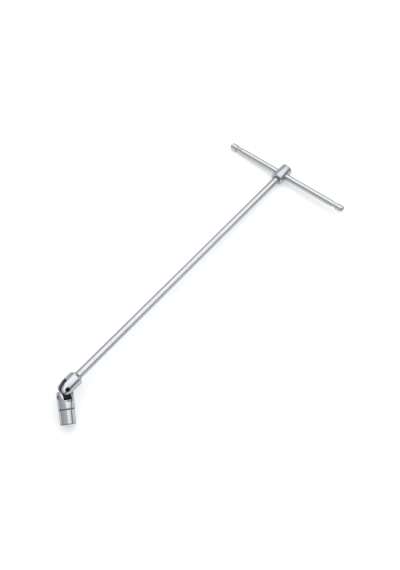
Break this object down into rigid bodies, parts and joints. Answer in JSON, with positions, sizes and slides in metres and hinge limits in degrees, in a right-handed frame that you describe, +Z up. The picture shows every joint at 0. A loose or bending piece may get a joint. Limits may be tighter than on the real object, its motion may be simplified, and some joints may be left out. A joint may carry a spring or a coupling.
{
  "type": "t-handle socket wrench",
  "caption": "Long-reach hexagon socket wrench with a sliding T bar and a double-pin universal joint, lying bent on a table.",
  "frame": {"origin": "middle of the footprint, on the table", "axes": "+X runs along the shaft from the T bar towards the socket, +Y runs along the sliding bar, +Z is up from the table that the wrench lies on"},
  "size_m": [0.4186, 0.1736, 0.0299],
  "materials": {
    "satin_chrome": "satin chrome plate on turned steel, faintly bluish, with fine turning lines",
    "bright_bar": "bright chrome plate on round steel bar",
    "black_oxide": "oiled black oxide on forged and turned steel",
    "spring_steel": "bare hardened spring steel"
  },
  "bodies": {
    "handle": {"shaft": "satin_chrome", "handle_head": "satin_chrome", "detent_ball": "spring_steel", "detent_spring": "spring_steel", "detent_plug": "satin_chrome", "yoke": "satin_chrome", "upper_pin": "black_oxide", "upper_washer_front": "spring_steel", "upper_washer_back": "spring_steel"},
    "bar": {"sliding_bar": "bright_bar"},
    "link": {"centre_link": "black_oxide"},
    "socket_end": {"socket": "satin_chrome", "lower_pin": "black_oxide", "lower_washer_front": "spring_steel", "lower_washer_back": "spring_steel"}
  },
  "joints": [
    {"name": "bar_slide", "type": "slide", "parent": "handle", "child": "bar", "axis": [-0.0019, 0.9986, 0.0535], "range_m": [-0.0746, 0.0636]},
    {"name": "upper_bend", "type": "hinge", "parent": "handle", "child": "link", "pos_m": [0.18059, -0.00549, 0.02175], "axis": [-0.0251, 0.7001, 0.7136], "range_deg": [-105, 2]},
    {"name": "lower_bend", "type": "hinge", "parent": "link", "child": "socket_end", "pos_m": [0.18591, -0.00085, 0.01739], "axis": [-0.7668, 0.4445, -0.4631], "range_deg": [-21.5, 46.5]}
  ]
}
